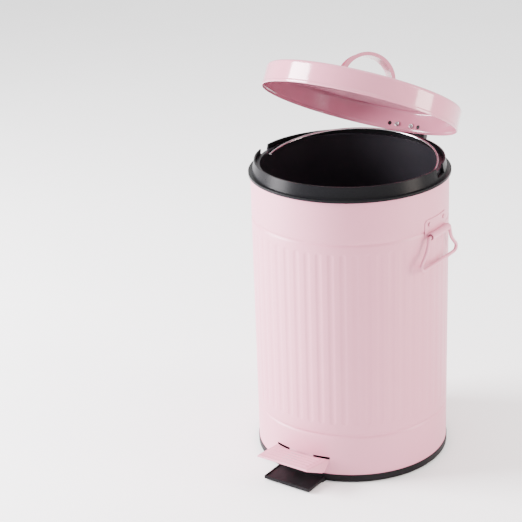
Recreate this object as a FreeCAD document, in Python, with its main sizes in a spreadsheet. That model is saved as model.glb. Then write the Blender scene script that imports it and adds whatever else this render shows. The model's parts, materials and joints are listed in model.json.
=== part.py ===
import FreeCAD, Part
import math
import os
import re

import Sketcher
from FreeCAD import Placement, Rotation, Vector

# A round pedal bin of pressed steel, with a lift-out bucket and a soft-closing lid.
# Millimetres, +Z up, origin on the floor under the middle of the body.
# The pedal is towards -Y, the hinge towards +Y and the side handle towards +X.
# The lid stands part open in the stored pose. Everything on the lid is drawn closed
# and then turned about the hinge.

SIZES = {
    # body
    "shell_radius": 125.0,
    "sheet": 0.8,
    "shell_bottom": 3.0,
    "shell_top": 377.2,
    "low_bead": 65.0,
    "high_bead": 323.0,
    "bead_half": 2.3,
    "bead_depth": 1.2,
    # moulded base
    "base_radius": 125.8,
    "base_height": 10.5,
    "base_floor": 2.5,
    "base_toe": 1.8,
    "tongue_half": 34.0,
    "tongue_front": 159.5,
    "tongue_bottom": 2.0,
    "tongue_thick": 5.0,
    "tongue_edge": 1.5,
    "tongue_rim": 6.2,
    # two slots behind the pedal, and the lever's way through the wall
    "slot_half": 39.9,
    "slot_top": 34.4,
    "tab_half": 18.0,
    "tab_bottom": 31.0,
    "lever_top": 30.5,
    # collar
    "flange_radius": 127.6,
    "flange_bottom": 377.3,
    "flange_top": 380.5,
    "collar_foot_radius": 122.7,
    "collar_top_radius": 119.9,
    "collar_top": 395.0,
    "collar_wall": 2.0,
    "ledge_radius": 115.3,
    "ledge_top": 382.7,
    "ledge_bottom": 379.7,
    "insert_radius": 123.9,
    "insert_inner": 121.6,
    "insert_bottom": 366.0,
    "notch_half": 11.5,
    "notch_bottom": 383.6,
    # bucket and its bail
    "bucket_turn": 9.0,
    "bucket_bottom": 45.0,
    "bucket_foot_radius": 101.5,
    "bucket_radius": 114.2,
    "bucket_wall": 1.6,
    "bucket_top": 389.5,
    "rim_radius": 117.2,
    "rim_bottom": 383.0,
    "rim_lip": 1.3,
    "bail_radius": 110.6,
    "bail_wire": 1.5,
    "bail_height": 385.5,
    "bail_tilt": 6.84,
    "bail_reach": 115.3,
    # hinge and lid
    "hinge_back": 150.0,
    "hinge_height": 367.0,
    "lid_open": 28.1,
    "lid_rim": 380.8,
    "lid_top": 409.4,
    "lid_rim_radius": 126.1,
    "lid_top_radius": 125.0,
    "lid_bead": 2.8,
    "lid_bead_depth": 0.7,
    "lid_corner": 4.0,
    "lid_screw_offset": 10.6,
    "lid_hole_offset": 21.4,
    "lid_hole_radius": 2.8,
    "lid_hole_height": 389.6,
    "lid_screw_radius": 1.5,
    "hinge_pin_radius": 3.0,
    "running_gap": 0.06,
    "lever_arm": 21.0,
    "lever_pin_radius": 2.0,
    "lever_closed": 58.0,
    # linkage
    "rod_back": 118.5,
    "rod_radius": 2.0,
    "rod_bottom": 14.5,
    "rod_top": 350.0,
    "head_middle": 357.3,
    "window_half": 3.1,
    # pedal
    "axle_front": 50.0,
    "axle_height": 22.0,
    "axle_radius": 3.0,
    "pedal_half": 40.0,
    "pedal_sheet": 1.2,
    "lever_half": 9.0,
    "lever_sheet": 1.6,
    # side handle
    "barrel_out": 129.0,
    "barrel_height": 318.5,
    "barrel_half": 22.0,
    "barrel_radius": 4.4,
    "wire_radius": 2.3,
    "plate_half": 25.5,
    "plate_top": 338.8,
    "plate_bottom": 316.0,
    "plate_corner": 3.0,
    # top handle
    "strap_radius": 32.0,
    "strap_thick": 1.2,
    "strap_width": 23.0,
    "strap_leg": 8.0,
    "strap_foot": 12.0,
    "strap_lip": 3.5,
    "handle_turn": 45.0,
}

doc = FreeCAD.newDocument("PedalBin")
sheet = doc.addObject("Spreadsheet::Sheet", "Sizes")
for row, (word, number) in enumerate(SIZES.items(), 1):
    sheet.set(f"A{row}", word)
    sheet.set(f"B{row}", str(number))
    sheet.setAlias(f"B{row}", word)
doc.recompute()

NODES = {}


def size(word):
    """A driving dimension, read from the sheet."""
    return float(sheet.get(word))


def bound(text):
    """The same expression with each driving dimension read from the sheet."""
    return re.sub(r"[a-z]+(?:_[a-z]+)*", lambda m: f"Sizes.{m[0]}" if m[0] in SIZES else m[0], text)


def node(name, piece, placement=None):
    """Names a finished piece, and puts it in place."""
    piece.Label = name
    if placement:
        piece.Placement = placement
    NODES[name] = piece
    return piece


# ---------------------------------------------------------------- sketches and features


def new_body(name):
    return doc.addObject("PartDesign::Body", name)


def new_sketch(body, name, role, turn=0.0):
    """An empty sketch on one of the body's own origin planes, turned about the plane's upright."""
    sketch = body.newObject("Sketcher::SketchObject", name)
    plane = next(o for o in body.Origin.OriginFeatures if o.Role == role)
    sketch.AttachmentSupport = [(plane, "")]
    sketch.MapMode = "FlatFace"
    sketch.AttachmentOffset = Placement(Vector(), Rotation(Vector(0, 1, 0), turn))
    return sketch


def fix_point(sketch, curve, point, across, up):
    """Holds a point of a curve at two expressions, measured from the sketch's origin."""
    for kind, text in (("DistanceX", across), ("DistanceY", up)):
        at = sketch.addConstraint(Sketcher.Constraint(kind, -1, 1, curve, point, 1.0))
        sketch.setExpression(f"Constraints[{at}]", bound(str(text)))


def add_polygon(sketch, corners):
    """A closed outline through the corners, each held by expressions."""
    first = sketch.GeometryCount
    count = len(corners)
    ring = [Vector(math.cos(k), math.sin(k), 0) * 50 for k in range(count)]
    for k in range(count):
        sketch.addGeometry(Part.LineSegment(ring[k], ring[(k + 1) % count]))
    for k in range(count):
        after = first + (k + 1) % count
        sketch.addConstraint(Sketcher.Constraint("Coincident", first + k, 2, after, 1))
    for k, (across, up) in enumerate(corners):
        fix_point(sketch, first + k, 1, across, up)
    return sketch


def add_circle(sketch, across, up, radius):
    """A circle held by expressions."""
    at = sketch.addGeometry(Part.Circle(Vector(1, 1, 0), Vector(0, 0, 1), 1))
    fix_point(sketch, at, 3, across, up)
    rule = sketch.addConstraint(Sketcher.Constraint("Radius", at, 1.0))
    sketch.setExpression(f"Constraints[{rule}]", bound(str(radius)))
    return sketch


def outline(body, name, role, corners, turn=0.0):
    return add_polygon(new_sketch(body, name, role, turn), corners)


def revolve(body, sketch, angle=360.0):
    """Turns the sketch about its own upright axis, evenly to both sides of its plane."""
    feature = body.newObject("PartDesign::Revolution", sketch.Name + "_turned")
    feature.Profile = sketch
    feature.ReferenceAxis = (sketch, ["V_Axis"])
    feature.Angle = angle
    feature.Midplane = angle < 360.0
    return feature


def pad(body, sketch, length, both_sides=True):
    feature = body.newObject("PartDesign::Pad", sketch.Name + "_pad")
    feature.Profile = sketch
    feature.SideType = "Symmetric" if both_sides else "One side"
    feature.setExpression("Length", bound(length))
    return feature


def pocket(body, sketch, length, side="both"):
    """Cuts the sketch through the body, to both sides, or along or against its normal."""
    doc.recompute()
    before = body.Shape.Volume
    feature = body.newObject("PartDesign::Pocket", sketch.Name + "_cut")
    feature.Profile = sketch
    feature.SideType = "Symmetric" if side == "both" else "One side"
    feature.Reversed = side == "along"
    feature.setExpression("Length", bound(length))
    doc.recompute()
    if feature.Shape.isNull() or feature.Shape.Volume > before - 0.01:
        raise RuntimeError(f"{feature.Name} cuts nothing")
    return feature


def round_edges(body, radius, chosen):
    """Fillets the edges of the body's last feature that the test picks."""
    doc.recompute()
    last = body.Tip
    names = [f"Edge{k}" for k, edge in enumerate(last.Shape.Edges, 1) if chosen(edge)]
    feature = body.newObject("PartDesign::Fillet", f"{last.Name}_round")
    feature.Base = (last, names)
    feature.setExpression("Radius", bound(radius))
    return feature


# ---------------------------------------------------------------- primitives and booleans


def rod_along(name, start, axis, radius, length, angle=360.0):
    """A cylinder that starts at a point and runs along an axis."""
    piece = doc.addObject("Part::Cylinder", name)
    piece.setExpression("Radius", bound(str(radius)))
    piece.setExpression("Height", bound(str(length)))
    piece.Angle = angle
    piece.Placement = Placement(start, Rotation(Vector(0, 0, 1), axis))
    return piece


def block(name, low, high):
    """A box between two corners."""
    piece = doc.addObject("Part::Box", name)
    piece.Length, piece.Width, piece.Height = (b - a for a, b in zip(low, high))
    piece.Placement = Placement(Vector(*low), Rotation())
    return piece


def fuse(name, pieces):
    piece = doc.addObject("Part::MultiFuse", name)
    piece.Shapes = pieces
    return piece


def group(name, pieces):
    piece = doc.addObject("Part::Compound", name)
    piece.Links = pieces
    return piece


def cut(name, base, tool):
    piece = doc.addObject("Part::Cut", name)
    piece.Base = base
    piece.Tool = tool
    return piece


def common(name, first, second):
    piece = doc.addObject("Part::Common", name)
    piece.Base = first
    piece.Tool = second
    return piece


def tube(name, start, axis, outer, inner, length):
    """A round tube that starts at a point and runs along an axis."""
    solid = rod_along(name + "_outside", start, axis, outer, length)
    bore = rod_along(name + "_bore", start, axis, inner, length)
    return cut(name, solid, bore)


def rivet(name, start, axis, grip, shank, head, head_thick=1.2):
    """A rivet that grips from a start point for a length, with a flat head at each end."""
    axis = Vector(*axis)
    body = rod_along(name + "_shank", start, axis, shank, grip)
    near = rod_along(name + "_near", start - axis * head_thick, axis, head, head_thick)
    far = rod_along(name + "_far", start + axis * grip, axis, head, head_thick)
    return fuse(name, [body, near, far])


def rounded_path(points, radius):
    """A closed wire through the points, with each corner an arc."""
    count = len(points)
    edges, ends = [], []
    for k in range(count):
        here = points[k]
        back = (points[k - 1] - here).normalize()
        ahead = (points[(k + 1) % count] - here).normalize()
        half = back.getAngle(ahead) / 2
        reach = radius / math.tan(half)
        centre = here + (back + ahead).normalize() * (radius / math.sin(half))
        middle = centre + (here - centre).normalize() * radius
        ends.append((here + back * reach, middle, here + ahead * reach))
    for k in range(count):
        edges.append(Part.Arc(*ends[k]).toShape())
        edges.append(Part.makeLine(ends[k][2], ends[(k + 1) % count][0]))
    return Part.Wire(edges)


def swept(name, path, start, along, radius):
    """A round wire bent along a path."""
    section = Part.Wire([Part.makeCircle(size(radius), start, along)])
    piece = doc.addObject("Part::Feature", name)
    piece.Shape = path.makePipeShell([section], True, False)
    return piece


# ---------------------------------------------------------------- places

X_AXIS = Vector(1, 0, 0)
Y_AXIS = Vector(0, 1, 0)
Z_AXIS = Vector(0, 0, 1)
HINGE = Vector(0, size("hinge_back"), size("hinge_height"))
LID_PLACE = Placement(Vector(), Rotation(X_AXIS, -size("lid_open")), HINGE)
closed_angle = math.radians(size("lever_closed"))
LEVER_BACK = size("hinge_back") - size("lever_arm") * math.cos(closed_angle)
LEVER_HEIGHT = size("hinge_height") - size("lever_arm") * math.sin(closed_angle)
HANDLE_RIVETS = [(17.5, 332.7), (-17.5, 332.7)]
HINGE_RIVETS = [(-9.0, 331.0), (9.0, 331.0), (-9.0, 350.0), (9.0, 350.0)]
FLOOR_SCREWS = [(-20.0, -60.0), (20.0, -60.0), (-20.0, -40.0), (20.0, -40.0)]
RIVET_RADIUS = 1.6
WALL_SEAT = ("shell_radius + 0.05", "shell_radius - sheet - 0.05")


# ---------------------------------------------------------------- body of the bin


def bead_points(radius, height):
    """The three profile corners of one pressed groove round the shell."""
    return [
        (radius, f"{height} - bead_half"),
        (f"{radius} - bead_depth", height),
        (radius, f"{height} + bead_half"),
    ]


def make_outer_shell():
    """The pressed steel wall, with two round grooves, the slots at the pedal and the rear slot."""
    outer, inner = "shell_radius", "shell_radius - sheet"
    beads = bead_points(outer, "low_bead") + bead_points(outer, "high_bead")
    back = bead_points(inner, "high_bead")[::-1] + bead_points(inner, "low_bead")[::-1]
    ring = [(outer, "shell_bottom"), *beads, (outer, "shell_top")]
    ring += [(inner, "shell_top"), *back, (inner, "shell_bottom")]
    body = new_body("outer_shell_body")
    revolve(body, outline(body, "shell_wall", "XZ_Plane", ring))
    for side in ("", "-"):
        slot = [(side + "tab_half", "tab_bottom"), (side + "slot_half", "tab_bottom")]
        slot += [(side + "slot_half", "slot_top"), (side + "tab_half", "slot_top")]
        name = "left_slot" if side else "right_slot"
        pocket(body, outline(body, name, "XZ_Plane", slot), "shell_radius + 5", "along")
    gap = [("-14", "0"), ("14", "0"), ("14", "lever_top"), ("-14", "lever_top")]
    pocket(body, outline(body, "lever_gate", "XZ_Plane", gap), "shell_radius + 5", "along")
    rear = [("-3.5", "335"), ("3.5", "335"), ("3.5", "shell_top + 1"), ("-3.5", "shell_top + 1")]
    pocket(body, outline(body, "rear_slot", "XZ_Plane", rear), "shell_radius + 5", "against")
    holes = new_sketch(body, "hinge_rivet_holes", "XZ_Plane")
    for across, up in HINGE_RIVETS:
        add_circle(holes, across, up, RIVET_RADIUS)
    pocket(body, holes, "shell_radius + 5", "against")
    holes = new_sketch(body, "handle_rivet_holes", "YZ_Plane")
    for across, up in HANDLE_RIVETS:
        add_circle(holes, across, up, RIVET_RADIUS)
    pocket(body, holes, "shell_radius + 5", "along")
    return node("outer_shell", body)


def make_top_collar():
    """The black plastic collar: flange, upstanding wall, ledge for the bucket, notches for its ears."""
    ring = [
        ("insert_inner", "insert_bottom"),
        ("insert_radius", "insert_bottom"),
        ("insert_radius", "flange_bottom"),
        ("flange_radius", "flange_bottom"),
        ("flange_radius", "flange_top"),
        ("collar_foot_radius", "flange_top"),
        ("collar_top_radius", "collar_top"),
        ("collar_top_radius - collar_wall", "collar_top"),
        ("collar_foot_radius - 2 * collar_wall", "ledge_top"),
        ("ledge_radius", "ledge_top"),
        ("ledge_radius", "ledge_bottom"),
        ("insert_inner", "ledge_bottom"),
    ]
    body = new_body("top_collar_body")
    revolve(body, outline(body, "collar_ring", "XZ_Plane", ring))
    notch = [
        ("-notch_half", "notch_bottom"),
        ("notch_half", "notch_bottom"),
        ("notch_half", "collar_top + 1"),
        ("-notch_half", "collar_top + 1"),
    ]
    turned = outline(body, "ear_notches", "YZ_Plane", notch, size("bucket_turn"))
    pocket(body, turned, "2 * shell_radius + 10")
    gap = [("-8", "insert_bottom - 1"), ("8", "insert_bottom - 1"), ("8", "377"), ("-8", "377")]
    pocket(body, outline(body, "rod_gap", "XZ_Plane", gap), "shell_radius + 5", "against")
    return node("top_collar", body)


def make_base_pan():
    """The moulded base: flat floor, ring that holds the shell, and the foot tongue under the pedal."""
    ring = [
        ("0", "0"),
        ("base_radius - base_toe", "0"),
        ("base_radius", "base_toe"),
        ("base_radius", "base_height"),
        (WALL_SEAT[0], "base_height"),
        (WALL_SEAT[0], "2.9"),
        (WALL_SEAT[1], "2.9"),
        (WALL_SEAT[1], "11.5"),
        ("insert_inner", "11.5"),
        ("insert_inner", "base_floor"),
        ("0", "base_floor"),
    ]
    body = new_body("base_pan_body")
    revolve(body, outline(body, "pan", "XZ_Plane", ring))
    side, front = "tongue_half", "-tongue_front"
    tongue = [("-" + side, "-118"), ("-" + side, front), (side, front), (side, "-118")]
    pad(body, outline(body, "tongue", "XY_Plane", tongue), "tongue_thick", both_sides=False)
    inner_side, inner_front = "tongue_half - tongue_edge", "-tongue_front + tongue_edge"
    rim = [("-" + side, "-122"), ("-" + side, front), (side, front), (side, "-122")]
    rim += [(inner_side, "-122"), (inner_side, inner_front)]
    rim += [(f"-({inner_side})", inner_front), (f"-({inner_side})", "-122")]
    pad(body, outline(body, "tongue_lip", "XY_Plane", rim), "tongue_rim", both_sides=False)
    gap = [("-14", "8"), ("14", "8"), ("14", "20"), ("-14", "20")]
    pocket(body, outline(body, "lever_gap", "XZ_Plane", gap), "base_radius + 5", "along")
    tools = [
        rod_along(f"floor_hole_{k}", Vector(x, y, 0.8), Z_AXIS, RIVET_RADIUS, 5)
        for k, (x, y) in enumerate(FLOOR_SCREWS)
    ]
    tools.append(tube("wall_seat", Vector(0, 0, 2.9), Z_AXIS, *WALL_SEAT, 20))
    tools.append(block("tongue_under", (-50, -170, -1), (50, -126.5, size("tongue_bottom"))))
    return node("base_pan", cut("base_pan_cut", body, group("base_tools", tools)))


def make_rod_guides():
    """Two plastic guides on the inside of the rear wall, bored for the lift rod."""
    guides = []
    for k, low in enumerate((95.0, 285.0)):
        raw = block(f"guide_block_{k}", (-7, 114.5, low), (7, 126, low + 12))
        wall = rod_along(f"guide_wall_{k}", Vector(), Z_AXIS, "shell_radius - sheet - 0.05", 400)
        fitted = common(f"guide_fitted_{k}", raw, wall)
        mouth = Vector(0, size("rod_back"), low - 1)
        bore = rod_along(f"guide_bore_{k}", mouth, Z_AXIS, "rod_radius + 0.1", 20)
        guides.append(cut(f"guide_{k}", fitted, bore))
    return node("rod_guides", group("guides", guides))


# ---------------------------------------------------------------- hinge, on the body's side


def make_hinge_base():
    """The steel channel riveted to the rear wall, with an arc slot for the lever pin to swing in."""
    body = new_body("hinge_channel_body")
    side = [
        ("125.3", "318"),
        ("126.8", "318"),
        ("126.8", "334"),
        ("138", "334"),
        ("146", "343"),
        ("150", "358.5"),
        ("156", "361"),
        ("158.3", "hinge_height"),
        ("156", "373"),
        ("150", "375.2"),
        ("140", "374.5"),
        ("125.3", "374.5"),
    ]
    pad(body, outline(body, "channel_side", "YZ_Plane", side), "29")
    inside = [("126.8", "310"), ("170", "310"), ("170", "380"), ("126.8", "380")]
    pocket(body, outline(body, "channel_inside", "YZ_Plane", inside), "26")
    slot = [("-3.5", "334"), ("3.5", "334"), ("3.5", "380"), ("-3.5", "380")]
    pocket(body, outline(body, "head_slot", "XZ_Plane", slot), "140", "against")
    holes = new_sketch(body, "web_holes", "XZ_Plane")
    for across, up in HINGE_RIVETS:
        add_circle(holes, across, up, RIVET_RADIUS)
    pocket(body, holes, "140", "against")
    left = rod_along("pin_hole_left", HINGE - X_AXIS * 20, X_AXIS, "hinge_pin_radius", 20)
    right = rod_along("pin_hole_right", HINGE, X_AXIS, "5.15", 20)
    swing = rod_along("swing_outside", HINGE - X_AXIS * 20, X_AXIS, "lever_arm + 2.5", 40, 88)
    swing_core = rod_along("swing_inside", HINGE - X_AXIS * 20, X_AXIS, "lever_arm - 2.5", 40)
    spin = Rotation(X_AXIS, 249)
    swing.Placement = Placement(HINGE - X_AXIS * 20, spin.multiply(swing.Placement.Rotation))
    arc = cut("swing_slot", swing, swing_core)
    return node("hinge_base", cut("hinge_base_cut", body, group("hinge_tools", [left, right, arc])))


def make_hinge_fixings():
    """Rivets of the hinge base, the hinge pin with its head, its clip, and the damper's housing."""
    rivets = [
        rivet(f"hinge_rivet_{k}", Vector(x, 123.4, z), (0, 1, 0), 3.4, RIVET_RADIUS, 3.0)
        for k, (x, z) in enumerate(HINGE_RIVETS)
    ]
    node("hinge_rivets", group("hinge_rivet_set", rivets))
    start = HINGE - X_AXIS * 19.4
    pin = rod_along("pin_shank", start, X_AXIS, "hinge_pin_radius", 38.8)
    head = rod_along("pin_head", HINGE - X_AXIS * 19.4, X_AXIS, 4.6, 1.5)
    node("hinge_pin", fuse("hinge_pin_solid", [pin, head]))
    clip_start = HINGE + X_AXIS * 17.9
    node("hinge_pin_clip", tube("clip_ring", clip_start, X_AXIS, 5.2, "hinge_pin_radius", 1.0))
    housing_start = HINGE + X_AXIS * 3
    node("damper_housing", tube("housing_tube", housing_start, X_AXIS, 9.0, 5.1, 10))


# ---------------------------------------------------------------- lid


def make_lid_shell():
    """The pressed lid: a shallow pan with a rolled rim, and holes for its hinge and its handle."""
    rim, top = "lid_rim_radius", "lid_top_radius"
    neck = "lid_rim_radius - lid_bead_depth"
    ring = [
        ("lid_rim_radius - 1.1", "lid_rim"),
        (rim, "lid_rim + 0.8"),
        (rim, "lid_rim + lid_bead"),
        (neck, "lid_rim + lid_bead + 1.4"),
        (top, "lid_top"),
        ("0", "lid_top"),
        ("0", "lid_top - sheet"),
        (f"{top} - sheet", "lid_top - sheet"),
        (f"{neck} - sheet", "lid_rim + lid_bead + 1.4"),
        ("lid_rim_radius - 1.1", "lid_rim + lid_bead"),
    ]
    body = new_body("lid_body")
    revolve(body, outline(body, "lid_profile", "XZ_Plane", ring))
    high = size("lid_top") - 1.5
    wide = size("lid_top_radius") - 3

    def corner(edge):
        box = edge.BoundBox
        return box.ZMin > high and box.ZLength < 0.01 and box.XMax > wide

    def outer_corner(edge):
        return corner(edge) and edge.BoundBox.ZMax > size("lid_top") - 0.1

    def inner_corner(edge):
        return corner(edge) and edge.BoundBox.ZMax < size("lid_top") - 0.1

    round_edges(body, "lid_corner", outer_corner)
    round_edges(body, "lid_corner - sheet", inner_corner)
    holes = new_sketch(body, "skirt_holes", "XZ_Plane")
    for sign in ("", "-"):
        add_circle(holes, sign + "lid_screw_offset", "lid_hole_height", "lid_screw_radius")
        add_circle(holes, sign + "lid_hole_offset", "lid_hole_height", "lid_hole_radius")
    pocket(body, holes, "shell_radius + 5", "against")
    tools = [
        rod_along(f"handle_hole_{k}", at - Z_AXIS * 5, Z_AXIS, RIVET_RADIUS, 10)
        for k, at in enumerate(handle_rivet_places())
    ]
    return node("lid_shell", cut("lid_cut", body, group("handle_holes", tools)), LID_PLACE)


def handle_rivet_places():
    """Where the top handle's rivets pass through the lid, at the lid's top face."""
    turn = Rotation(Z_AXIS, size("handle_turn"))
    out = size("strap_radius") + size("strap_foot") / 2
    top = Vector(0, 0, size("lid_top"))
    return [turn.multVec(Vector(a * out, b * 5.5, 0)) + top for a in (-1, 1) for b in (-1, 1)]


def make_lid_handle():
    """The arched strap on the lid, with raised edges and a flat foot at each end."""
    radius, thick, wide = size("strap_radius"), size("strap_thick"), size("strap_width")
    leg, foot, lip = size("strap_leg"), size("strap_foot"), size("strap_lip")
    start = Vector(0, wide / 2, leg)
    toward = Vector(0, -1, 0)
    pieces = []
    pieces.append(rod_along("arch_outside", start, toward, "strap_radius", "strap_width", 180))
    for k, y in enumerate((wide / 2, -wide / 2 + 1.2)):
        edge = rod_along(f"arch_lip_{k}", Vector(0, y, leg), toward, "strap_radius + strap_lip", 1.2, 180)
        pieces.append(edge)
    for name, side in (("left", -1), ("right", 1)):
        low, high = sorted((side * radius, side * (radius - thick)))
        pieces.append(block(f"strap_leg_{name}", (low, -wide / 2, 0), (high, wide / 2, leg + 0.5)))
        low, high = sorted((side * (radius - thick), side * (radius + foot)))
        pieces.append(block(f"strap_foot_{name}", (low, -wide / 2, 0), (high, wide / 2, thick)))
        low, high = sorted((side * (radius - thick), side * (radius + lip)))
        for k, y in enumerate((-wide / 2, wide / 2 - 1.2)):
            pieces.append(block(f"leg_lip_{name}_{k}", (low, y, 0), (high, y + 1.2, leg + 0.5)))
    arch_inner = "strap_radius - strap_thick"
    inside = rod_along("arch_inside", Vector(0, wide, leg), toward, arch_inner, "2 * strap_width")
    under = block("arch_under", (-radius + thick, -wide, 0), (radius - thick, wide, leg))
    back = Rotation(Z_AXIS, -size("handle_turn"))
    top = Vector(0, 0, size("lid_top"))
    holes = [
        rod_along(f"foot_hole_{k}", back.multVec(at - top) - Z_AXIS, Z_AXIS, RIVET_RADIUS, 5)
        for k, at in enumerate(handle_rivet_places())
    ]
    strap = cut("strap", fuse("strap_solid", pieces), group("strap_tools", [inside, under, *holes]))
    place = LID_PLACE.multiply(Placement(top, Rotation(Z_AXIS, size("handle_turn"))))
    return node("lid_handle", strap, place)


def make_lid_fixings():
    """Rivets of the top handle, and the screws and nuts that hold the lid to its hinge."""
    below, grip = Z_AXIS * size("sheet"), size("sheet") + size("strap_thick")
    rivets = [
        rivet(f"handle_rivet_{k}", at - below, (0, 0, 1), grip, RIVET_RADIUS, 2.9)
        for k, at in enumerate(handle_rivet_places())
    ]
    node("lid_handle_rivets", group("handle_rivet_set", rivets), LID_PLACE)
    screws = []
    for k, side in enumerate((-1, 1)):
        at = Vector(side * size("lid_screw_offset"), 123.5, size("lid_hole_height"))
        shank = rod_along(f"screw_shank_{k}", at, Y_AXIS, "lid_screw_radius", 5.8)
        head = rod_along(f"screw_head_{k}", at - Y_AXIS * 1.4, Y_AXIS, 3.1, 1.4)
        nut = rod_along(f"screw_nut_{k}", at + Y_AXIS * 3.6, Y_AXIS, 2.8, 2.2)
        screws.append(fuse(f"screw_{k}", [shank, head, nut]))
    node("lid_hinge_screws", group("screw_set", screws), LID_PLACE)


def make_lid_bracket():
    """The black goose-neck channel from the lid's skirt round to the hinge pin, with its lever ears."""
    body = new_body("lid_bracket_body")
    back, up = "hinge_back", "hinge_height"
    eye_y, eye_z = f"{LEVER_BACK:.4f}", f"{LEVER_HEIGHT:.4f}"
    side = [
        ("126.6", "386"),
        ("126.6", "394"),
        ("153", "394"),
        ("161.5", "385.5"),
        ("161.5", up),
        ("155", "356.5"),
        (f"{eye_y} + 2.4", f"{eye_z} - 2.8"),
        (f"{eye_y} - 1.6", f"{eye_z} - 3.2"),
        (f"{eye_y} - 3.6", f"{eye_z} + 0.4"),
        (f"{eye_y} - 1.8", f"{eye_z} + 3.4"),
        (f"{back} - 7", "362"),
        (f"{back} - 7", "371"),
        ("148", "375"),
        ("153.5", "379"),
        ("150.5", "386"),
    ]
    pad(body, outline(body, "neck_side", "YZ_Plane", side), "35")
    inside = [("120", "330"), ("120", "392.5"), ("152.4", "392.5"), ("160", "384.9"), ("160", "330")]
    pocket(body, outline(body, "neck_inside", "YZ_Plane", inside), "32")
    leaf = [("125.5", "385.5"), ("127", "385.5"), ("127", "394"), ("125.5", "394")]
    revolve(body, outline(body, "leaf", "YZ_Plane", leaf), 25.0)
    holes = new_sketch(body, "pin_holes", "YZ_Plane")
    add_circle(holes, back, up, "hinge_pin_radius + running_gap")
    add_circle(holes, eye_y, eye_z, "lever_pin_radius")
    pocket(body, holes, "60")
    holes = new_sketch(body, "leaf_holes", "XZ_Plane")
    for sign in ("", "-"):
        add_circle(holes, sign + "lid_screw_offset", "lid_hole_height", "lid_screw_radius")
    pocket(body, holes, "130", "against")
    return node("lid_hinge_bracket", body, LID_PLACE)


def make_lever_pin():
    """The cross pin that the rod's head lifts, and the damper's rotor on the hinge pin."""
    at = Vector(0, LEVER_BACK, LEVER_HEIGHT)
    shank = rod_along("lever_shank", at - X_AXIS * 18.5, X_AXIS, "lever_pin_radius", 37)
    heads = [
        rod_along(f"lever_head_{k}", at + X_AXIS * x, X_AXIS, 3.0, 1.0)
        for k, x in enumerate((-18.5, 17.5))
    ]
    node("lever_pin", fuse("lever_pin_solid", [shank, *heads]), LID_PLACE)
    rotor_start = HINGE + X_AXIS * 3.5
    rotor = tube("rotor_tube", rotor_start, X_AXIS, 5.0, "hinge_pin_radius + running_gap", 12.5)
    node("damper_rotor", rotor, LID_PLACE)


# ---------------------------------------------------------------- pedal and lift rod


def make_pedal_lever():
    """The long channel lever: the pedal at one end, the lift rod on the other."""
    top = [
        ("-158", "37.86"),
        ("-131", "34.28"),
        ("-127", "26"),
        ("-120", "25"),
        ("-60", "29.5"),
        ("-40", "29.5"),
        ("60", "23.5"),
        ("120.5", "19.8"),
    ]
    bottom = [("120.5", "13.5"), ("60", "15"), ("-40", "14"), ("-60", "14"), ("-118", "17.5")]
    bottom += [("-128", "18"), ("-134", "24.5"), ("-158", "31")]
    body = new_body("lever_body")
    pad(body, outline(body, "lever_side", "YZ_Plane", top + bottom), "2 * lever_half")
    inside = [(y, f"{z} - lever_sheet") for y, z in top]
    inside[0] = ("-170", "37.86 - lever_sheet")
    inside[-1] = ("140", "18.7 - lever_sheet")
    inside += [("140", "0"), ("-170", "0")]
    hollow = outline(body, "lever_inside", "YZ_Plane", inside)
    pocket(body, hollow, "2 * lever_half - 2 * lever_sheet")
    hole = add_circle(new_sketch(body, "bush_hole", "YZ_Plane"), "-axle_front", "axle_height", 5)
    pocket(body, hole, "60")
    hole = add_circle(new_sketch(body, "rod_hole", "XY_Plane"), "0", "rod_back", 3.2)
    pocket(body, hole, "60", "along")
    return node("pedal_lever", body)


def make_pedal_cover():
    """The pressed foot plate, with a turned-down front edge and deep triangular cheeks."""
    body = new_body("cover_body")
    side = [
        ("-119.5", "34"),
        ("-167", "40.3"),
        ("-168.2", "36.3"),
        ("-136", "19.5"),
        ("-131", "19.5"),
        ("-119.5", "30"),
    ]
    pad(body, outline(body, "cover_side", "YZ_Plane", side), "2 * pedal_half")
    inside = [("-110", "31.54"), ("-166.9", "39.08"), ("-166.9", "10"), ("-110", "10")]
    hollow = outline(body, "cover_inside", "YZ_Plane", inside)
    pocket(body, hollow, "2 * pedal_half - 2 * pedal_sheet")
    wall = rod_along("cover_wall_gap", Vector(), Z_AXIS, 128, 60)
    return node("pedal_cover", cut("cover_cut", body, wall))


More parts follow.
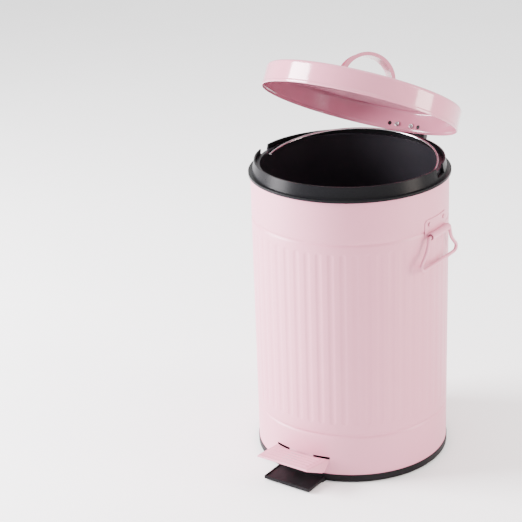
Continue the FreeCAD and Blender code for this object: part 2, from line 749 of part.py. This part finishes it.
def make_pedal_pivot():
    """The floor bracket, the axle with its clips, the bushing on it, and the bracket's screws."""
    front, up = "-axle_front", "axle_height"
    body = new_body("pivot_body")
    side = [
        ("-66", "base_floor"),
        ("-34", "base_floor"),
        ("-34", "5"),
        ("-43", "27"),
        ("-47", "30"),
        ("-53", "30"),
        ("-57", "27"),
        ("-66", "5"),
    ]
    pad(body, outline(body, "pivot_side", "YZ_Plane", side), "56")
    inside = [("-70", "4"), ("-30", "4"), ("-30", "40"), ("-70", "40")]
    pocket(body, outline(body, "pivot_inside", "YZ_Plane", inside), "53")
    hole = add_circle(new_sketch(body, "axle_hole", "YZ_Plane"), front, up, "axle_radius")
    pocket(body, hole, "80")
    tools = [
        rod_along(f"bracket_hole_{k}", Vector(x, y, 0), Z_AXIS, RIVET_RADIUS, 6)
        for k, (x, y) in enumerate(FLOOR_SCREWS)
    ]
    node("pedal_bracket", cut("bracket_cut", body, group("bracket_holes", tools)))
    screws = []
    for k, (x, y) in enumerate(FLOOR_SCREWS):
        shank = rod_along(f"floor_screw_shank_{k}", Vector(x, y, 0.8), Z_AXIS, RIVET_RADIUS, 3.2)
        head = rod_along(f"floor_screw_head_{k}", Vector(x, y, 4), Z_AXIS, 3.0, 1.6)
        screws.append(fuse(f"floor_screw_{k}", [shank, head]))
    node("pedal_bracket_screws", group("floor_screw_set", screws))
    middle = Vector(0, -size("axle_front"), size("axle_height"))
    node("pedal_axle", rod_along("axle", middle - X_AXIS * 30, X_AXIS, "axle_radius", 60))
    clips = [
        tube(f"axle_clip_{k}", middle + X_AXIS * x, X_AXIS, 5.2, "axle_radius", 1)
        for k, x in enumerate((-29.1, 28.1))
    ]
    node("axle_clips", group("axle_clip_set", clips))
    bush = tube("bush", middle - X_AXIS * 26, X_AXIS, 5, "axle_radius + running_gap", 52)
    node("pedal_bushing", bush)


def make_lift_rod():
    """The lift rod, the plate on its top that catches the lever pin, and the foot on the lever."""
    y = size("rod_back")
    start = Vector(0, y, size("rod_bottom"))
    node("lift_rod", rod_along("rod", start, Z_AXIS, "rod_radius", "rod_top - rod_bottom"))
    body = new_body("head_body")
    low, high = "head_middle - window_half - 3.5", "head_middle + window_half + 2"
    plate = [("116", low), ("144", low), ("144", high), ("116", high)]
    pad(body, outline(body, "head_plate", "YZ_Plane", plate), "3")
    socket = [("115.5", "334"), ("121.5", "334"), ("121.5", high), ("115.5", high)]
    pad(body, outline(body, "head_socket", "YZ_Plane", socket), "6")
    low, high = "head_middle - window_half", "head_middle + window_half"
    window = [("126.6", low), ("141.3", low), ("141.3", high), ("126.6", high)]
    pocket(body, outline(body, "head_window", "YZ_Plane", window), "20")
    bore = rod_along("socket_bore", Vector(0, y, 300), Z_AXIS, "rod_radius", size("rod_top") - 300)
    node("rod_head", cut("head_cut", body, bore))
    node("rod_foot", tube("foot_disc", Vector(0, y, 20.9), Z_AXIS, 5, "rod_radius", 3))


# ---------------------------------------------------------------- bucket, bail and side handle


def make_bucket():
    """The lift-out plastic bucket, which hangs by its turned-down rim on the collar's ledge."""
    wide, wall = "bucket_radius", "bucket_wall"
    ring = [
        ("0", "bucket_bottom"),
        ("bucket_foot_radius", "bucket_bottom"),
        (wide, "rim_bottom"),
        (wide, f"bucket_top - {wall}"),
        (f"rim_radius - rim_lip", f"bucket_top - {wall}"),
        (f"rim_radius - rim_lip", "rim_bottom"),
        ("rim_radius", "rim_bottom"),
        ("rim_radius", "bucket_top"),
        (f"{wide} - {wall}", "bucket_top"),
        (f"{wide} - {wall}", "rim_bottom"),
        (f"bucket_foot_radius - {wall}", f"bucket_bottom + {wall}"),
        ("0", f"bucket_bottom + {wall}"),
    ]
    body = new_body("bucket_body")
    revolve(body, outline(body, "bucket_profile", "XZ_Plane", ring))
    holes = new_sketch(body, "bail_holes", "YZ_Plane", size("bucket_turn"))
    add_circle(holes, 0, "bail_height", "bail_wire + 0.1")
    pocket(body, holes, "2 * shell_radius")
    return node("inner_bucket", body)


def make_bail():
    """The bucket's wire bail: half a ring, with its ends turned out through the bucket's wall."""
    ring = doc.addObject("Part::Torus", "bail_ring")
    ring.setExpression("Radius1", bound("bail_radius"))
    ring.setExpression("Radius2", bound("bail_wire"))
    ring.Angle3 = 180
    parts = [ring]
    for k, side in enumerate((1, -1)):
        knuckle = doc.addObject("Part::Sphere", f"bail_knuckle_{k}")
        knuckle.setExpression("Radius", bound("bail_wire + 0.3"))
        knuckle.Placement = Placement(X_AXIS * side * size("bail_radius"), Rotation())
        end = rod_along(f"bail_end_{k}", knuckle.Placement.Base, X_AXIS * side, "bail_wire",
                        "bail_reach - bail_radius")
        parts += [knuckle, end]
    bail = fuse("bail", parts)
    turn = Rotation(Z_AXIS, size("bucket_turn")).multiply(Rotation(X_AXIS, size("bail_tilt")))
    return node("bucket_bail", bail, Placement(Vector(0, 0, size("bail_height")), turn))


def make_side_handle():
    """The drop handle: a riveted plate with a rolled barrel, its rivets, and the wire in the barrel."""
    out, up, half = size("barrel_out"), size("barrel_height"), size("barrel_half")
    face = new_body("plate_outline")
    corners = [
        ("-plate_half", "plate_bottom"),
        ("plate_half", "plate_bottom"),
        ("plate_half", "plate_top - plate_corner"),
        ("plate_half - plate_corner", "plate_top"),
        ("-plate_half + plate_corner", "plate_top"),
        ("-plate_half", "plate_top - plate_corner"),
    ]
    pad(face, outline(face, "plate_shape", "YZ_Plane", corners), "140", both_sides=False)
    skin = rod_along("plate_skin", Vector(0, 0, 300), Z_AXIS, "shell_radius + 0.95", 60)
    plate = common("plate", skin, face)
    start = Vector(out, -half, up)
    barrel = rod_along("barrel", start, Y_AXIS, "barrel_radius", "2 * barrel_half")
    roll = block("barrel_web", (118, -half, up + 2.3), (out, half, up + 3.5))
    solid = fuse("handle_solid", [plate, barrel, roll])
    wall = rod_along("plate_wall", Vector(0, 0, 290), Z_AXIS, "shell_radius + 0.05", 80)
    bore = rod_along("barrel_bore", start - Y_AXIS * 5, Y_AXIS, "wire_radius + 0.1", "2 * barrel_half + 10")
    holes = [
        rod_along(f"plate_hole_{k}", Vector(115, y, z), X_AXIS, RIVET_RADIUS, 20)
        for k, (y, z) in enumerate(HANDLE_RIVETS)
    ]
    mouths = [
        rod_along(f"barrel_mouth_{k}", Vector(out, y, up), Y_AXIS, "barrel_radius - 0.9", 4)
        for k, y in enumerate((-half - 1, half - 3))
    ]
    tools = group("handle_tools", [wall, bore, *mouths, *holes])
    node("side_handle_plate", cut("handle", solid, tools))
    points = [(-24.6, 0), (-44.6, -29.5), (-36.8, -39), (36.8, -39), (44.6, -29.5), (24.6, 0)]
    path = rounded_path([Vector(out, y, up + z) for y, z in points], 3.2)
    wire = swept("handle_wire", path, Vector(out, 0, up - 39), Y_AXIS, "wire_radius")
    node("side_handle", wire)
    rivets = [
        rivet(f"side_rivet_{k}", Vector(122.1, y, z), (1, 0, 0), 3.1, RIVET_RADIUS, 2.6, 0.9)
        for k, (y, z) in enumerate(HANDLE_RIVETS)
    ]
    node("side_handle_rivets", group("side_rivet_set", rivets))


# ---------------------------------------------------------------- the whole bin


def check(piece):
    """Stops the script if a piece has failed, is empty, or isn't sound."""
    if any(word in piece.State for word in ("Invalid", "Error")):
        raise RuntimeError(f"{piece.Label} failed: {piece.State}")


def main():
    make_outer_shell()
    make_top_collar()
    make_base_pan()
    make_rod_guides()
    make_hinge_base()
    make_hinge_fixings()
    make_lid_shell()
    make_lid_handle()
    make_lid_fixings()
    make_lid_bracket()
    make_lever_pin()
    make_pedal_lever()
    make_pedal_cover()
    make_pedal_pivot()
    make_lift_rod()
    make_bucket()
    make_bail()
    make_side_handle()
    doc.recompute()
    for piece in doc.Objects:
        check(piece)
    os.makedirs("parts", exist_ok=True)
    for name, piece in NODES.items():
        shape = piece.Shape
        if shape.isNull() or not shape.isValid() or not shape.Solids:
            raise RuntimeError(f"{name} has no sound solid")
        shape.exportStep(f"parts/{name}.step")
        print(f"{name:24} {len(shape.Solids)} solid(s) {shape.Volume:10.0f} mm3")


main()
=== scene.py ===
import json
import math

import bpy
import numpy as np
from mathutils import Matrix, Vector


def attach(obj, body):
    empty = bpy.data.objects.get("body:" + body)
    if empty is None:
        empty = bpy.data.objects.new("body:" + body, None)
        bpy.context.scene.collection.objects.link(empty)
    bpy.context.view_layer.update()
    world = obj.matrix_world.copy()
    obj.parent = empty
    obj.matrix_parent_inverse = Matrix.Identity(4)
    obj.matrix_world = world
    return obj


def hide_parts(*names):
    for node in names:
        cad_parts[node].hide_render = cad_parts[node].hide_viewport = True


# Looks of the pedal bin. Metres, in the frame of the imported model.

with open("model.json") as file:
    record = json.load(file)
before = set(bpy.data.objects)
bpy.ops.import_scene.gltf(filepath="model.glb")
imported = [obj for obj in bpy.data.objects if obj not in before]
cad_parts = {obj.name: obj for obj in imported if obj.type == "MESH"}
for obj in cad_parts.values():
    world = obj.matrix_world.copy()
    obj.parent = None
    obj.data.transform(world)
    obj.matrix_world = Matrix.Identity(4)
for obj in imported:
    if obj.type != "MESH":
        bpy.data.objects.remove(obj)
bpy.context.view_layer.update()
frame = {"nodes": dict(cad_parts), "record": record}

SHELL_RADIUS = 0.125
SHELL_SHEET = 0.0008
SHELL_BOTTOM = 0.003
SHELL_TOP = 0.3772
FLUTES = 52
FLUTE_BOTTOM = 0.080
FLUTE_TOP = 0.312
FLUTE_HALF = 0.0046
FLUTE_DEPTH = 0.0005
BEADS = (0.065, 0.323)
BEAD_HALF = 0.0034
BEAD_DEPTH = 0.0012
SLOT_HALF = 0.0399
SLOT_TOP = 0.0344
SLOT_BOTTOM = 0.031
TAB_HALF = 0.018
GATE_HALF = 0.014
GATE_TOP = 0.0305
REAR_SLOT_HALF = 0.0035
REAR_SLOT_BOTTOM = 0.335
PEDAL_HALF = 0.0399
PEDAL_EDGE = 0.0016
PEDAL_RIDGE = 0.0009
PEDAL_CLEAR = 0.1282
PEDAL_SHEET = 0.0011
PEDAL_WALL_Y = -0.1215
PEDAL_REACH = 0.0461
PEDAL_WALL_TOP = 0.0338
PEDAL_RISE = 0.0061
PEDAL_LIP_Z = 0.0364
RIDGE_PITCH = 0.15
RIDGES_FROM, RIDGES_TO = 0.13, 0.88
FLAT_SHARE, TURN_SHARE = 0.8, 0.88
WIRE_RADIUS = 0.0022
BARREL_OUT = 0.129
BARREL_HEIGHT = 0.3185
EDGE_SOFTNESS = 0.0005
LID_OPEN = 28.1
HINGE = Vector((0, 0.150, 0.367))


# ---------------------------------------------------------------- materials


def node_setup(name):
    """A material with a principled shader and object coordinates, and its node tree's helpers."""
    material = bpy.data.materials.new(name)
    material.use_nodes = True
    tree = material.node_tree
    shader = tree.nodes["Principled BSDF"]
    place = tree.nodes.new("ShaderNodeTexCoord").outputs["Object"]
    return material, tree, shader, place


def noise(tree, place, scale, detail, stretch=None):
    """Noise on object coordinates, stretched along the axes if asked."""
    if stretch:
        mapping = tree.nodes.new("ShaderNodeMapping")
        mapping.inputs["Scale"].default_value = stretch
        tree.links.new(place, mapping.inputs["Vector"])
        place = mapping.outputs["Vector"]
    texture = tree.nodes.new("ShaderNodeTexNoise")
    texture.inputs["Scale"].default_value = scale
    texture.inputs["Detail"].default_value = detail
    tree.links.new(place, texture.inputs["Vector"])
    return texture.outputs["Fac"]


def spread(tree, value, low, high):
    """Maps the middle of a noise value to a range."""
    ranged = tree.nodes.new("ShaderNodeMapRange")
    ranged.inputs["From Min"].default_value = 0.3
    ranged.inputs["From Max"].default_value = 0.7
    ranged.inputs["To Min"].default_value = low
    ranged.inputs["To Max"].default_value = high
    tree.links.new(value, ranged.inputs["Value"])
    return ranged.outputs["Result"]


def tinted(tree, value, first, second):
    """A colour that drifts between two with the value."""
    mix = tree.nodes.new("ShaderNodeMix")
    mix.data_type = "RGBA"
    mix.inputs["A"].default_value = (*first, 1)
    mix.inputs["B"].default_value = (*second, 1)
    tree.links.new(spread(tree, value, 0.0, 1.0), mix.inputs["Factor"])
    return mix.outputs["Result"]


def surface(name, first, second, rough, grain, bump, metal=0.0, coat=0.0, shine=0.5, stretch=None):
    """A finish: drifting colour and roughness, a fine grain in relief, and softened edges."""
    material, tree, shader, place = node_setup(name)
    drift = noise(tree, place, 14.0, 3.0)
    fine = noise(tree, place, grain, 4.0, stretch)
    tree.links.new(tinted(tree, drift, first, second), shader.inputs["Base Color"])
    tree.links.new(spread(tree, fine, rough[0], rough[1]), shader.inputs["Roughness"])
    shader.inputs["Metallic"].default_value = metal
    shader.inputs["Specular IOR Level"].default_value = shine
    shader.inputs["Coat Weight"].default_value = coat
    shader.inputs["Coat Roughness"].default_value = 0.08
    soft = tree.nodes.new("ShaderNodeBevel")
    soft.samples = 6
    soft.inputs["Radius"].default_value = EDGE_SOFTNESS
    relief = tree.nodes.new("ShaderNodeBump")
    relief.inputs["Strength"].default_value = 1.0
    relief.inputs["Distance"].default_value = bump
    tree.links.new(fine, relief.inputs["Height"])
    tree.links.new(soft.outputs["Normal"], relief.inputs["Normal"])
    tree.links.new(relief.outputs["Normal"], shader.inputs["Normal"])
    return material


PINK = surface("pink_powder_coat", (0.60, 0.235, 0.32), (0.585, 0.225, 0.31), (0.34, 0.42), 900, 0.00001)
PINK_LID = surface(
    "pink_gloss_paint", (0.55, 0.195, 0.275), (0.535, 0.19, 0.265), (0.10, 0.16), 500, 0.000004, coat=0.5
)
COLLAR = surface(
    "black_collar", (0.006, 0.006, 0.007), (0.008, 0.008, 0.009), (0.26, 0.34), 700, 0.00001, shine=0.06
)
MATTE = surface(
    "black_matte", (0.006, 0.005, 0.006), (0.009, 0.008, 0.009), (0.42, 0.55), 1200, 0.00003, shine=0.08
)
INSIDE = surface(
    "black_bucket", (0.011, 0.010, 0.013), (0.014, 0.013, 0.016), (0.30, 0.42), 900, 0.00002, shine=0.12
)
BLACK_STEEL = surface(
    "black_steel", (0.006, 0.006, 0.007), (0.01, 0.01, 0.01), (0.28, 0.4), 1000, 0.00002, shine=0.2
)
STEEL = surface(
    "zinc_sheet", (0.42, 0.42, 0.43), (0.55, 0.55, 0.56), (0.30, 0.45), 60, 0.00001,
    metal=1.0, stretch=(1, 8, 20),
)
BRIGHT = surface(
    "bright_wire", (0.50, 0.49, 0.50), (0.60, 0.59, 0.60), (0.12, 0.22), 300, 0.000005, metal=1.0
)
SLOT_LOOKS = {
    "pink_body": PINK,
    "pink_lid": PINK_LID,
    "black_plastic": COLLAR,
    "matte_black": MATTE,
    "black_steel": BLACK_STEEL,
    "plain_steel": STEEL,
    "bright_steel": BRIGHT,
}


def dress_nodes():
    """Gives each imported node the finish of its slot."""
    for entry in frame["record"]["subparts"]:
        part = frame["nodes"][entry["node"]]
        part.data.materials.clear()
        part.data.materials.append(SLOT_LOOKS[entry["material_slot"]])
    bucket = frame["nodes"]["inner_bucket"].data.materials
    bucket.clear()
    bucket.append(INSIDE)


# ---------------------------------------------------------------- meshes


def mesh_object(name, points, faces, material, body, stands_for=()):
    """A smooth-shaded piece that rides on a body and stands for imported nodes."""
    mesh = bpy.data.meshes.new(name)
    mesh.from_pydata(points, [], faces)
    mesh.validate()
    mesh.polygons.foreach_set("use_smooth", [True] * len(mesh.polygons))
    mesh.materials.append(material)
    piece = bpy.data.objects.new(name, mesh)
    bpy.context.scene.collection.objects.link(piece)
    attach(piece, body)
    if stands_for:
        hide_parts(*stands_for)
    return piece


def thicken(piece, amount, inner=None):
    """Thickens a sheet away from its normals; inner, if given, colours that side and the edges, which on
    the shell is painted shade.
    """
    solid = piece.modifiers.new("sheet", "SOLIDIFY")
    if inner:
        piece.data.materials.append(inner)
        solid.material_offset = 1
        solid.material_offset_rim = 1
    solid.thickness = amount
    solid.offset = -1
    solid.use_even_offset = True
    view = bpy.context.evaluated_depsgraph_get()
    piece.data = bpy.data.meshes.new_from_object(piece.evaluated_get(view))
    piece.modifiers.clear()
    piece.data.set_sharp_from_angle(angle=math.radians(35))
    return piece


def smooth(value):
    """A soft step from 0 to 1."""
    value = np.clip(value, 0.0, 1.0)
    return value * value * (3.0 - 2.0 * value)


def grid_faces(rows, columns, closed=False, keep=None):
    """Quads of a grid of points, those left out that keep() refuses."""
    last = columns if closed else columns - 1
    faces = []
    for r in range(rows - 1):
        for c in range(last):
            if keep is None or keep(r, c):
                here, after = r * columns, (c + 1) % columns
                above = here + columns
                faces.append((here + c, here + after, above + after, above + c))
    return faces


def flute_depth(angle, height):
    """How far the wall is pressed in by the upright flutes."""
    pitch = 2 * math.pi / FLUTES
    across = (np.mod(angle + math.pi / 2 + pitch / 2, pitch) - pitch / 2) * SHELL_RADIUS
    low, high = FLUTE_BOTTOM + FLUTE_HALF, FLUTE_TOP - FLUTE_HALF
    beyond = np.maximum(np.maximum(low - height, height - high), 0.0)
    away = np.sqrt(across**2 + beyond**2)
    return FLUTE_DEPTH * smooth(1.35 * (1.0 - away / FLUTE_HALF))


def bead_depth(height):
    """How far the wall is pressed in by the two grooves round it."""
    return sum(BEAD_DEPTH * smooth(1.0 - np.abs(height - bead) / BEAD_HALF) for bead in BEADS)


def build_shell():
    """The pressed wall, with its flutes, its two grooves, its pedal slot and its rear slot, and a black
    inside that is painted shade.
    """
    regular = np.arange(FLUTES * 16) * (2 * math.pi / (FLUTES * 16))
    edges = [math.asin(half / SHELL_RADIUS) for half in (SLOT_HALF, TAB_HALF, GATE_HALF)]
    front = [-math.pi / 2 + side * edge for edge in edges for side in (-1, 1)]
    rear_edge = math.asin(REAR_SLOT_HALF / SHELL_RADIUS)
    rear = [math.pi / 2 + side * rear_edge for side in (-1, 1)]
    angles = np.unique(np.round(np.mod(np.concatenate([regular, front, rear]), 2 * math.pi), 6))
    heights = [SHELL_BOTTOM, 0.0045, 0.0105, 0.02, GATE_TOP, SLOT_BOTTOM, SLOT_TOP, 0.05]
    heights += [0.1, 0.14, 0.18, 0.22, 0.26, 0.3, REAR_SLOT_BOTTOM, 0.35, SHELL_TOP - 0.0006, SHELL_TOP]
    heights += [bead + BEAD_HALF * k / 6 for bead in BEADS for k in range(-6, 7)]
    heights += [FLUTE_BOTTOM + FLUTE_HALF * 1.2 * k / 8 for k in range(9)]
    heights += [FLUTE_TOP - FLUTE_HALF * 1.2 * k / 8 for k in range(9)]
    heights = np.unique(np.round(heights, 6))
    points = []
    for height in heights:
        pressed = flute_depth(angles, height) + bead_depth(height)
        radius = SHELL_RADIUS - pressed
        points += [(r * math.cos(a), r * math.sin(a), height) for r, a in zip(radius, angles)]

    def keep(row, column):
        height = (heights[row] + heights[row + 1]) / 2
        gap = (angles[(column + 1) % len(angles)] - angles[column]) % (2 * math.pi)
        angle = angles[column] + gap / 2
        across, toward = SHELL_RADIUS * math.cos(angle), math.sin(angle)
        in_slot = TAB_HALF < abs(across) < SLOT_HALF and SLOT_BOTTOM < height < SLOT_TOP
        in_gate = abs(across) < GATE_HALF and height < GATE_TOP
        in_rear = abs(across) < REAR_SLOT_HALF and height > REAR_SLOT_BOTTOM
        return not (in_slot or in_gate) if toward < 0 else not in_rear

    faces = grid_faces(len(heights), len(angles), True, keep)
    shell = mesh_object("shell_skin", points, faces, PINK, "bin", ["outer_shell"])
    # Black matte on the inside face and the cut edges is painted shade, so the pedal slot and the rear
    # slot look dark.
    return thicken(shell, SHELL_SHEET, MATTE)


def pedal_point(share, side, lip):
    """A point of the foot plate: share runs from the wall to the front, side from cheek to cheek."""
    y = PEDAL_WALL_Y - PEDAL_REACH * share
    wide = PEDAL_HALF - 0.0020 * share
    top = PEDAL_WALL_TOP + PEDAL_RISE * share
    low = float(np.interp(y, [-0.168, -0.136, -0.131, -0.1195], [PEDAL_LIP_Z, 0.0196, 0.0196, 0.030]))
    flat = wide - PEDAL_EDGE
    if abs(side) < FLAT_SHARE:
        x = side / FLAT_SHARE * flat
        wave = 0.5 - 0.5 * math.cos(2 * math.pi * (share - RIDGES_FROM) / RIDGE_PITCH)
        inside = smooth((flat - 0.0035 - abs(x)) / 0.0025) if RIDGES_FROM < share < RIDGES_TO else 0.0
        z = top - PEDAL_RIDGE * (1.0 - float(inside) * wave)
    elif abs(side) < TURN_SHARE:
        turn = (abs(side) - FLAT_SHARE) / (TURN_SHARE - FLAT_SHARE) * math.pi / 2
        x = math.copysign(flat + PEDAL_EDGE * math.sin(turn), side)
        z = top - PEDAL_RIDGE - PEDAL_EDGE * (1 - math.cos(turn))
    else:
        x = math.copysign(wide, side)
        start = top - PEDAL_RIDGE - PEDAL_EDGE
        z = start + (low - start) * (abs(side) - TURN_SHARE) / (1 - TURN_SHARE)
    y = min(y, -math.sqrt(PEDAL_CLEAR**2 - x**2))
    if lip:
        y -= 0.0006 * math.sin(lip * math.pi / 2)
        z = PEDAL_LIP_Z + (z - PEDAL_LIP_Z) * (1 - lip**1.6)
    return x, y, z


def build_pedal():
    """The foot plate: ridges across it, a turned-down front edge and deep cheeks."""
    rows, columns, turned = 90, 120, 5
    points = [
        pedal_point(min(r / (rows - 1), 1.0), 2 * c / (columns - 1) - 1, max(r - rows + 1, 0) / turned)
        for r in range(rows + turned)
        for c in range(columns)
    ]
    faces = [face[::-1] for face in grid_faces(rows + turned, columns)]
    pedal = mesh_object("pedal_plate", points, faces, PINK, "pedal", ["pedal_cover"])
    return thicken(pedal, PEDAL_SHEET)


def lathe(profile, segments):
    """Points and faces of a profile of (radius, height) turned about Z."""
    points = []
    for radius, height in profile:
        for k in range(segments):
            angle = 2 * math.pi * k / segments
            points.append((radius * math.cos(angle), radius * math.sin(angle), height))
    return points, grid_faces(len(profile), segments, True)


def build_lid_screws():
    """The two hollow-headed screws in the lid's skirt, as they stand with the lid part open."""
    head = [(0.00001, 0.0009), (0.0009, 0.0009), (0.0012, 0.0002), (0.0019, 0.0002), (0.0022, 0.0013)]
    head += [(0.0026, 0.0014), (0.0030, 0.0010), (0.0031, 0.0), (0.0015, 0.0), (0.0015, -0.0056)]
    head += [(0.00001, -0.0056)]
    local, ring = lathe(head, 32)
    tilt = Matrix.Rotation(math.radians(-LID_OPEN), 4, "X")
    toward_front = Matrix.Rotation(math.radians(90), 4, "X")
    points, faces = [], []
    for side in (-1, 1):
        seat = Vector((side * 0.0106, 0.1235, 0.3896)) - HINGE
        place = Matrix.Translation(HINGE) @ tilt @ Matrix.Translation(seat) @ toward_front
        first = len(points)
        points += [tuple(place @ Vector(p)) for p in local]
        faces += [tuple(first + k for k in face[::-1]) for face in ring]
    screws = mesh_object("lid_screws", points, faces, BRIGHT, "lid", ["lid_hinge_screws"])
    screws.data.set_sharp_from_angle(angle=math.radians(40))
    return screws


def build_handle_wire():
    """The drop handle's wire: straight in its barrel, with legs that sweep outward to a straight grip."""
    leg = [(0.0246, 0.0), (0.0266, -0.0035), (0.0280, -0.0100), (0.0312, -0.0175), (0.0380, -0.0248)]
    leg += [(0.0434, -0.0295), (0.0446, -0.0335), (0.0424, -0.0375), (0.0372, -0.0390)]
    across = leg + [(-y, z) for y, z in leg[::-1]]
    line = bpy.data.curves.new("side_wire", "CURVE")
    line.dimensions = "3D"
    line.bevel_depth = WIRE_RADIUS
    line.bevel_resolution = 6
    line.resolution_u = 10
    spline = line.splines.new("NURBS")
    spline.points.add(len(across) - 1)
    for point, (y, z) in zip(spline.points, across):
        point.co = (BARREL_OUT, y, BARREL_HEIGHT + z, 1.0)
    spline.use_cyclic_u = True
    spline.order_u = 3
    drawn = bpy.data.objects.new("side_wire_line", line)
    bpy.context.scene.collection.objects.link(drawn)
    bpy.context.view_layer.update()
    mesh = bpy.data.meshes.new_from_object(drawn)
    bpy.data.objects.remove(drawn)
    mesh.polygons.foreach_set("use_smooth", [True] * len(mesh.polygons))
    mesh.materials.clear()
    mesh.materials.append(PINK)
    wire = bpy.data.objects.new("side_wire", mesh)
    bpy.context.scene.collection.objects.link(wire)
    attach(wire, "handle")
    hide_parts("side_handle")
    return wire


# ---------------------------------------------------------------- floor, light and camera


def add_area(name, place, aim, size, power, colour=(1, 1, 1)):
    """A soft light at a place, turned to a point."""
    lamp = bpy.data.lights.new(name, "AREA")
    lamp.shape = "RECTANGLE"
    lamp.size, lamp.size_y = size
    lamp.energy = power
    lamp.color = colour
    holder = bpy.data.objects.new(name, lamp)
    holder.location = place
    holder.rotation_euler = (Vector(aim) - Vector(place)).to_track_quat("-Z", "Y").to_euler()
    bpy.context.scene.collection.objects.link(holder)
    return holder


def build_stage():
    """A plain pale floor under a pale sky."""
    mesh = bpy.data.meshes.new("floor")
    half = 12.0
    corners = [(-half, -half, 0), (half, -half, 0), (half, half, 0), (-half, half, 0)]
    mesh.from_pydata(corners, [], [(0, 1, 2, 3)])
    floor = bpy.data.objects.new("floor", mesh)
    bpy.context.scene.collection.objects.link(floor)
    floor.location.z = -0.0005
    material, tree, shader, place = node_setup("pale_floor")
    shade = tinted(tree, noise(tree, place, 3.0, 2.0), (0.93, 0.93, 0.93), (0.95, 0.95, 0.95))
    tree.links.new(shade, shader.inputs["Base Color"])
    shader.inputs["Roughness"].default_value = 0.7
    mesh.materials.append(material)
    world = bpy.data.worlds.new("studio")
    world.use_nodes = True
    sky = world.node_tree.nodes["Background"]
    sky.inputs["Color"].default_value = (1.0, 1.0, 1.0, 1)
    sky.inputs["Strength"].default_value = 1.7
    bpy.context.scene.world = world


def light_stage():
    """A broad light from the left, a weak one from the right, and one from behind."""
    middle = (0, 0, 0.22)
    add_area("key_left", (-1.75, -1.15, 0.9), middle, (1.0, 1.6), 300, (1.0, 0.97, 1.0))
    add_area("fill_right", (1.7, 0.5, 0.7), middle, (0.6, 1.2), 45, (1.0, 0.88, 0.80))
    add_area("top_soft", (0.1, 0.5, 2.2), middle, (1.6, 1.6), 20)


def add_camera():
    """A long lens, above and to the right of the front."""
    lens = bpy.data.cameras.new("camera")
    lens.lens = 105.35
    lens.sensor_width = 36.0
    lens.clip_end = 60.0
    camera = bpy.data.objects.new("camera", lens)
    camera.location = (0.97055, -1.55136, 0.98529)
    camera.rotation_euler = tuple(math.radians(a) for a in (68.27228, 1.88035, 34.88923))
    bpy.context.scene.collection.objects.link(camera)
    bpy.context.scene.camera = camera


dress_nodes()
build_shell()
build_pedal()
build_lid_screws()
build_handle_wire()
build_stage()
light_stage()
add_camera()
